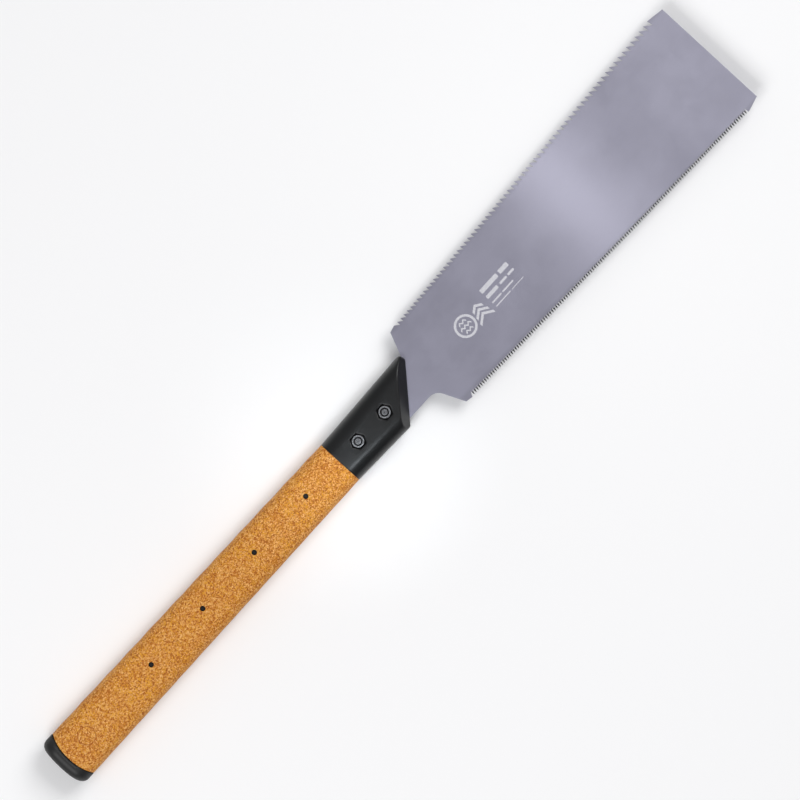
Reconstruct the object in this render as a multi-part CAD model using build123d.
from build123d import *
import math
import os

# Two-edged japanese pull saw: a thin blade clamped between two holder shells by two bolts, and a pinned
# handle core under a cork-granule grip.
#
# The saw lies on its back side. +X runs from the butt to the blade's tip, +Y towards the rip teeth and
# +Z up, which is the side that carries the nuts. The pieces are drawn with Y = 0 on the saw's axis and
# Z = 0 in the middle of the blade's thickness. The grip, core, cap and pins have X = 0 at the butt, and
# the holder, bolts, nuts, washers and blade have X = 0 at the grip's front end. Each finished piece is
# then moved so that the origin is under the middle of the saw, on the surface it lies on.
# All sizes are in millimetres.

# --- handle outline ---
grip_length = 252.8           # butt to the holder, cap included
grip_thickness = 24.0         # across the blade's faces
grip_corner = 10.0            # corner radius of the grip's section
butt_width = 35.1             # grip width at the butt
neck_width = 31.7             # grip width at the holder
butt_offset = 1.05            # the section's middle, off the axis, at the butt
neck_offset = -0.45           # the same at the holder
seam_start = 7.8              # where the cap meets the grip, on the axis
seam_radius = 43.0            # the seam is an arc in plan
butt_dome_radius = 80.0       # the butt is slightly domed in plan
butt_round = 5.5              # round-over of the cap's edge

# --- grip and core ---
grip_wall = 3.0               # elastomer over the core
bond_gap = 0.04               # between pieces that are moulded or glued together
core_start = 14.0             # rear end of the core
core_wall = 3.0
core_bridge = 14.8            # solid part of the core between its bore and the holder's socket
peg_count = 4                 # locating pegs on each face of the core
first_peg = 84.5              # from the butt
last_peg = 29.2               # from the grip's front end
peg_offset = 1.4              # pegs off the grip's middle line, towards the rip teeth
peg_hole_diameter = 3.1       # hole through the grip
peg_gap = 0.15                # between a peg and its hole
peg_recess = 1.1              # a peg's end lies this far under the grip's face

# --- end cap ---
spigot_length = 14.0          # plug inside the core's bore
spigot_gap = 0.05
spigot_wall = 2.2
cap_end_wall = 3.5

# --- holder ---
holder_thickness = 23.0
holder_corner = 9.8           # corner radius of the holder's section
holder_rear_top = 15.2        # half widths above and below the axis at the grip
holder_rear_bottom = 16.2
holder_top_rise = 0.026       # how much each side widens per millimetre of length
holder_bottom_rise = 0.034
holder_reach = 61.6           # grip to the slanted front, along the axis
holder_slant = 43.2           # degrees between the slanted front and a square cut
nose_radius = 3.3             # plan rounding at the top of the slanted front
heel_radius = 2.5             # plan rounding at its bottom
bevel_width = 5.5             # the front is bevelled back by this much at the outer faces
bevel_edge = 1.5              # half thickness left at the foot of the bevel
bevel_round = 1.0             # rounding between the bevel and the holder's outside
rear_round = 0.5              # rounding of the rim against the grip
mouth_chamfer = 0.3           # around the pockets and counterbores

# --- tongue of the holder in the core ---
tongue_length = 48.0
tongue_width = 18.0
tongue_thickness = 10.0       # both shells together
tongue_gap = 0.05
pin_diameter = 4.0
pin_gap = 0.03
front_pin_inset = 12.0        # behind the grip's front end
rear_pin_inset = 38.0

# --- bolts, nuts and washers ---
rear_bolt_reach = 16.9        # in front of the grip
bolt_pitch = 24.0
bolt_diameter = 4.9           # M5, over the thread
bolt_length = 18.0            # under the head
head_diameter = 9.5
head_height = 2.75
hex_key = 3.0
hex_key_depth = 1.9
bolt_clearance = 0.3          # around the shank, in the shells and the blade's slot
washer_diameter = 10.0
washer_gap = 0.2              # around the bolt
washer_thickness = 1.0
counterbore_depth = 4.9
counterbore_gap = 0.3         # around the washer
nut_across_flats = 8.0
nut_thickness = 4.7
nut_thread_gap = 0.05         # around the bolt
nut_chamfer = 0.6
nut_pocket_depth = 5.5
nut_pocket_gap = 0.42         # on each flat of the pocket

# --- blade ---
blade_thickness = 0.6
blade_play = 0.05             # pocket clearance on each face of the tang
pocket_gap = 0.15             # pocket clearance along the tang's edges
tang_reach = 5.2              # rear end of the tang, in front of the grip
tang_top = 13.0
tang_bottom = -14.0
tang_corner = 2.0
slot_end_gap = 0.3            # beyond the front bolt
heel_reach = 79.2             # upper and lower corners of the heel, in front of the grip
heel_top = 30.0
heel_bottom = -32.6
heel_lean = 2.28              # rise of the heel's two sloping edges per millimetre of length
heel_fillet_bottom = 8.0
heel_fillet_top = 1.5
plain_edge = 4.6              # between the heel's corners and the teeth
edge_start_top = 31.2
edge_start_bottom = -33.4
toothed_length = 241.8
end_margin = 11.0             # beyond the teeth
half_width_at_tip = 41.5      # tooth tips at the blade's far end, both edges
end_corner_top = 39.6
end_corner_bottom = -38.8
end_rake = 0.5                # the end edge is this much out of square

# --- teeth ---
# count, last pitch over first pitch, depths at both ends, leans towards the handle in degrees at both
# ends, and where an upright tip would stand in its pitch: 0 over its gullet, 0.5 half way
rip_teeth = (68, 1.38, (2.5, 4.1), (1.0, 9.0), 0.0)
crosscut_teeth = (136, 1.0, (3.1, 3.1), (12.0, 12.0), 0.5)

# --- places that follow from the sizes above ---
bore_end = grip_length - tongue_length - core_bridge
edge_start = heel_reach + plain_edge
blade_end = edge_start + toothed_length + end_margin
overall_length = grip_length + blade_end
saw_bottom = grip_thickness / 2
far = 400.0                   # larger than anything that a cutting tool has to reach


def place(piece, drawn_from=0.0):
    """Move a finished piece, drawn with X = 0 at drawn_from from the butt, to the saw's own origin."""
    return Pos(drawn_from - overall_length / 2, 0, saw_bottom) * piece


def keep_one_solid(shape):
    """The shape's single solid, so that every node is exactly one piece."""
    return Part() + shape.solids().sort_by(SortBy.VOLUME)[-1]


# ---------------------------------------------------------------- handle sections

def handle_width(x):
    return butt_width + (neck_width - butt_width) * x / grip_length


def handle_middle(x):
    return butt_offset + (neck_offset - butt_offset) * x / grip_length


def handle_section(x, inset):
    """The handle's section at x, drawn in by inset all round."""
    plane = Plane(origin=(x, handle_middle(x), 0), x_dir=(0, 1, 0), z_dir=(1, 0, 0))
    width = handle_width(x) - 2 * inset
    thickness = grip_thickness - 2 * inset
    return plane * RectangleRounded(width, thickness, grip_corner - inset)


def handle_body(start, end, inset=0.0):
    return loft([handle_section(start, inset), handle_section(end, inset)])


def behind_seam(gap=0.0):
    """Everything on the butt's side of the seam between the cap and the grip."""
    middle = seam_start - gap + seam_radius
    tool = Box(far, far, far) - Cylinder(seam_radius, far).moved(Location((middle, 0, 0)))
    return tool & Pos(middle - far / 2, 0, 0) * Box(far, far, far)


def outer_handle():
    """The outside of the cap and the grip together."""
    dome = Pos(butt_dome_radius, 0, 0) * Cylinder(butt_dome_radius, far)
    tail = handle_body(0, grip_length / 2) & dome
    edges = tail.faces().sort_by(Axis.X)[0].edges()
    return fillet(edges, butt_round) + handle_body(grip_length / 2, grip_length)


def peg_places():
    """(x, y) of the locating pegs on each face."""
    places = []
    pitch = (grip_length - last_peg - first_peg) / (peg_count - 1)
    for i in range(peg_count):
        x = first_peg + i * pitch
        places.append((x, handle_middle(x) + peg_offset))
    return places


# ---------------------------------------------------------------- handle pieces

def cork_grip():
    grip = outer_handle() - behind_seam()
    grip -= handle_body(0, grip_length + 1, grip_wall)
    for x, y in peg_places():
        grip -= Pos(x, y, 0) * Cylinder(peg_hole_diameter / 2, far)
    return keep_one_solid(grip)


def handle_core():
    core = handle_body(core_start, grip_length, grip_wall + bond_gap)
    core -= handle_body(core_start - 1, bore_end, grip_wall + core_wall)
    socket_length = tongue_length + tongue_gap
    socket_width = tongue_width + 2 * tongue_gap
    socket_thickness = tongue_thickness + 2 * tongue_gap
    socket = Box(socket_length, socket_width, socket_thickness)
    core -= Pos(grip_length - socket_length / 2, 0, 0) * socket
    for x in pin_places(grip_length):
        core -= Pos(x, 0, 0) * Cylinder(pin_diameter / 2 + pin_gap, far)
    peg_top = grip_thickness / 2 - peg_recess
    peg_foot = grip_thickness / 2 - grip_wall - core_wall / 2
    peg = Cylinder(peg_hole_diameter / 2 - peg_gap, peg_top - peg_foot)
    for x, y in peg_places():
        core += Pos(x, y, (peg_top + peg_foot) / 2) * peg
        core += Pos(x, y, -(peg_top + peg_foot) / 2) * peg
    return keep_one_solid(core)


def end_cap():
    shell = outer_handle() & behind_seam(bond_gap)
    neck = handle_body(seam_start - 1, core_start - bond_gap, grip_wall + bond_gap)
    spigot_inset = grip_wall + core_wall + spigot_gap
    spigot = handle_body(seam_start, core_start + spigot_length, spigot_inset)
    hollow = handle_body(cap_end_wall, core_start + spigot_length + 1, spigot_inset + spigot_wall)
    return keep_one_solid(shell + neck + spigot - hollow)


def pin_places(grip_front):
    """X of the front and rear pin, where the grip's front end is at grip_front."""
    return [grip_front - front_pin_inset, grip_front - rear_pin_inset]


def cross_pin(x):
    length = grip_thickness - 2 * (grip_wall + bond_gap)
    return Pos(x, 0, 0) * Cylinder(pin_diameter / 2, length)


# ---------------------------------------------------------------- holder

def holder_top(x):
    return holder_rear_top + holder_top_rise * x


def holder_bottom(x):
    return -holder_rear_bottom - holder_bottom_rise * x


def slant_x(y):
    """X of the holder's slanted front at a given Y."""
    return holder_reach + y * math.tan(math.radians(holder_slant))


def holder_section(x):
    top = holder_top(x)
    bottom = holder_bottom(x)
    plane = Plane(origin=(x, (top + bottom) / 2, 0), x_dir=(0, 1, 0), z_dir=(1, 0, 0))
    return plane * RectangleRounded(top - bottom, holder_thickness, holder_corner)


def corner_on_slant(side_rear, rise):
    """Where a straight side of the holder meets the slanted front."""
    slope = math.tan(math.radians(holder_slant))
    y = (side_rear + rise * holder_reach) / (1 - rise * slope)
    return slant_x(y), y


def holder_plan():
    """The holder's outline in plan, with its nose and heel rounded."""
    nose = corner_on_slant(holder_rear_top, holder_top_rise)
    heel = corner_on_slant(-holder_rear_bottom, -holder_bottom_rise)
    rear_top = (0, holder_rear_top)
    rear_bottom = (0, -holder_rear_bottom)
    plan = Polygon(rear_bottom, heel, nose, rear_top, align=None)
    plan = round_corner(plan, nose, nose_radius)
    return round_corner(plan, heel, heel_radius)


def round_corner(sketch, corner, radius):
    vertex = sketch.vertices().sort_by_distance((corner[0], corner[1], 0))[0]
    return fillet(vertex, radius)


def bevel_plane(side):
    """The plane of the holder's bevelled front on the side +1 (nuts) or -1 (bolt heads)."""
    slant = math.radians(holder_slant)
    along = (math.sin(slant), math.cos(slant), 0)
    outward = (math.cos(slant), -math.sin(slant))
    rise = holder_thickness / 2 - bevel_edge
    normal = (outward[0] * rise, outward[1] * rise, side * bevel_width)
    return Plane(origin=(holder_reach, 0, side * bevel_edge), x_dir=along, z_dir=normal)


def holder_shell(side):
    """Half of the holder: the side +1 takes the nuts and the side -1 the bolt heads."""
    reach = corner_on_slant(holder_rear_top, holder_top_rise)[0] + 5
    block = loft([holder_section(0), holder_section(reach)])
    block &= extrude(holder_plan(), holder_thickness, both=True)
    block &= Pos(0, 0, side * far) * Box(4 * far, far, 2 * far)
    shell = split(block, bisect_by=bevel_plane(side), keep=Keep.BOTTOM)
    half = tongue_thickness / 2
    tongue = Box(tongue_length, tongue_width, half)
    shell += Pos(-tongue_length / 2, 0, side * half / 2) * tongue
    for x in pin_places(0):
        shell -= Pos(x, 0, 0) * Cylinder(pin_diameter / 2 + pin_gap, far)
    shell -= tang_pocket()
    for x in bolt_places():
        shell -= Pos(x, 0, 0) * Cylinder(bolt_diameter / 2 + bolt_clearance, far)
        shell -= Pos(x, 0, side * holder_thickness / 2) * seat_cutter(side)
    return soften(keep_one_solid(shell), side)


def soften(shell, side):
    """Round the edges of the bevel and of the rear rim, and chamfer the mouths of the pockets."""
    bevel = largest_face(shell, bevel_plane(side).z_dir)
    above_foot = bevel_edge + bevel_round / 2
    shell = fillet([e for e in bevel.edges() if abs(e.center().Z) > above_foot], bevel_round)
    outer = side * holder_thickness / 2
    mouths = [e for e in shell.edges() if abs(e.center().Z - outer) < 0.01 and near_a_bolt(e)]
    shell = chamfer(mouths, mouth_chamfer)
    rim = largest_face(shell, Vector(-1, 0, 0))
    in_tongue = tongue_thickness / 2 + rear_round
    outside = [e for e in rim.edges() if is_outside(e, in_tongue)]
    return keep_one_solid(fillet(outside, rear_round))


def largest_face(shape, normal):
    """The largest flat face that looks along normal, among those at the end of the holder proper."""
    faces = shape.faces().filter_by(GeomType.PLANE)
    alike = [f for f in faces if f.normal_at().dot(normal) > 0.999 and f.center().X > -1]
    return max(alike, key=lambda f: f.area)


def near_a_bolt(edge):
    reach = washer_diameter / 2 + counterbore_gap
    return any(abs(edge.center().X - x) < reach and abs(edge.center().Y) < reach for x in bolt_places())


def is_outside(edge, in_tongue):
    """True for an edge of the holder's outline, rather than of its tongue or its parting face."""
    middle = edge.center()
    return abs(middle.Z) > in_tongue or (abs(middle.Y) > tongue_width / 2 + 1 and abs(middle.Z) > 0.1)


def seat_cutter(side):
    """What is cut into an outer face around a bolt: a nut's pocket, or a washer's counterbore."""
    if side > 0:
        pocket = hexagon(nut_across_flats + 2 * nut_pocket_gap)
        return extrude(pocket, nut_pocket_depth, both=True)
    return Cylinder(washer_diameter / 2 + counterbore_gap, 2 * counterbore_depth)


def tang_pocket():
    """The space that the tang slides in, open to the front."""
    outline = offset(neck_sketch(), pocket_gap, kind=Kind.INTERSECTION)
    return extrude(outline, blade_thickness / 2 + blade_play, both=True)


# ---------------------------------------------------------------- fasteners

def bolt_places():
    return [rear_bolt_reach, rear_bolt_reach + bolt_pitch]


def hexagon(across_flats):
    """A hexagon with two corners on the saw's axis."""
    return RegularPolygon(across_flats / 2, 6, major_radius=False)


def washer_seat():
    """Z of the shoulder that a washer bears on."""
    return -holder_thickness / 2 + counterbore_depth


def washer(x):
    ring = Cylinder(washer_diameter / 2, washer_thickness)
    ring -= Cylinder(bolt_diameter / 2 + washer_gap, far)
    return Pos(x, 0, washer_seat() - washer_thickness / 2) * ring


def bolt(x):
    """A button-head bolt whose head bears on its washer."""
    under_head = washer_seat() - washer_thickness
    shank = Pos(0, 0, bolt_length / 2) * Cylinder(bolt_diameter / 2, bolt_length)
    head = Pos(0, 0, -head_height / 2) * Cylinder(head_diameter / 2, head_height)
    rim = head.edges().sort_by(Axis.Z)[0]
    head = fillet(rim, head_height * 0.6)
    head -= Pos(0, 0, -head_height) * extrude(hexagon(hex_key), hex_key_depth, both=True)
    tip = shank.edges().sort_by(Axis.Z)[-1]
    return Pos(x, 0, under_head) * (chamfer(tip, 0.4) + head)


def nut(x):
    """A hexagon nut with its outer face turned to a chamfer."""
    seat = holder_thickness / 2 - nut_pocket_depth
    blank = extrude(hexagon(nut_across_flats), nut_thickness)
    corner = nut_across_flats / 2 / math.cos(math.radians(30))
    turned = Pos(0, 0, nut_thickness / 2) * Cylinder(corner, nut_thickness)
    turned = chamfer(turned.edges().sort_by(Axis.Z)[-1], nut_chamfer / 2, nut_chamfer)
    hole = Cylinder(bolt_diameter / 2 + nut_thread_gap, far)
    return Pos(x, 0, seat) * ((blank & turned) - hole)


# ---------------------------------------------------------------- blade

def heel_meets(y):
    """X where the sloping heel edge on y's side of the axis reaches y."""
    corner = heel_top if y > 0 else heel_bottom
    return heel_reach - abs(corner - y) / heel_lean


def neck_points():
    """Tang and heel, from the upper heel corner round the tang to the lower heel corner."""
    return [
        (heel_reach, heel_top),
        (heel_meets(tang_top), tang_top),
        (tang_reach, tang_top),
        (tang_reach, tang_bottom),
        (heel_meets(tang_bottom), tang_bottom),
        (heel_reach, heel_bottom),
    ]


def neck_sketch():
    neck = Polygon(*neck_points(), align=None)
    return round_neck(neck)


def round_neck(sketch):
    """Round the tang's rear corners and the two inner corners where it meets the heel."""
    sketch = round_corner(sketch, (heel_meets(tang_top), tang_top), heel_fillet_top)
    sketch = round_corner(sketch, (heel_meets(tang_bottom), tang_bottom), heel_fillet_bottom)
    sketch = round_corner(sketch, (tang_reach, tang_top), tang_corner)
    return round_corner(sketch, (tang_reach, tang_bottom), tang_corner)


def edge_points(teeth, ends):
    """A toothed edge, from the heel's end of the plain edge to the last tip.

    teeth gives the count, the growth in pitch, the depths and the leans in degrees at both ends, and where
    a tip stands in its pitch if it doesn't lean; ends gives Y of the line of tips at both ends.
    """
    count, growth, depths, leans, centred = teeth
    side = math.copysign(1, ends[0])
    weights = [1 + (growth - 1) * i / (count - 1) for i in range(count)]
    points = [(edge_start, ends[0])]
    gullet = edge_start
    for weight in weights:
        pitch = toothed_length * weight / sum(weights)
        gullet += pitch
        share = (gullet - edge_start) / toothed_length
        depth = between(depths, share)
        lean = math.radians(between(leans, share))
        tip = gullet + centred * pitch - depth * math.tan(lean)
        tip_line = between(ends, share)
        points.append((gullet, tip_line - side * depth))
        points.append((tip, tip_line))
    return points


def between(ends, share):
    return ends[0] + (ends[1] - ends[0]) * share


def tang_slot():
    """The slot, open to the rear, that lets the blade slide out past both bolts."""
    radius = bolt_diameter / 2 + bolt_clearance
    end = bolt_places()[-1] + slot_end_gap
    length = end - tang_reach + tang_corner
    return Pos(end - length / 2, 0) * Rectangle(length, 2 * radius) + Pos(end, 0) * Circle(radius)


def saw_blade():
    rip = edge_points(rip_teeth, (edge_start_top, half_width_at_tip))
    crosscut = edge_points(crosscut_teeth, (edge_start_bottom, -half_width_at_tip))
    end_edge = [
        (blade_end, end_corner_top),
        (blade_end - end_rake, end_corner_bottom),
    ]
    outline = rip + end_edge + crosscut[::-1] + neck_points()[::-1]
    body = round_neck(Polygon(*outline, align=None))
    return extrude(body - tang_slot(), blade_thickness / 2, both=True)


# ---------------------------------------------------------------- write the pieces

rear_bolt_place, front_bolt_place = bolt_places()
front_pin_place, rear_pin_place = pin_places(grip_length)
handle_pieces = {
    "handle_core": handle_core(),
    "cork_grip": cork_grip(),
    "end_cap": end_cap(),
    "front_pin": cross_pin(front_pin_place),
    "rear_pin": cross_pin(rear_pin_place),
}
front_pieces = {
    "saw_blade": saw_blade(),
    "holder_upper_shell": holder_shell(1),
    "holder_lower_shell": holder_shell(-1),
    "front_bolt": bolt(front_bolt_place),
    "rear_bolt": bolt(rear_bolt_place),
    "front_washer": washer(front_bolt_place),
    "rear_washer": washer(rear_bolt_place),
    "front_nut": nut(front_bolt_place),
    "rear_nut": nut(rear_bolt_place),
}
os.makedirs("parts", exist_ok=True)
for name, piece in handle_pieces.items():
    export_step(place(piece), f"parts/{name}.step")
for name, piece in front_pieces.items():
    export_step(place(piece, grip_length), f"parts/{name}.step")
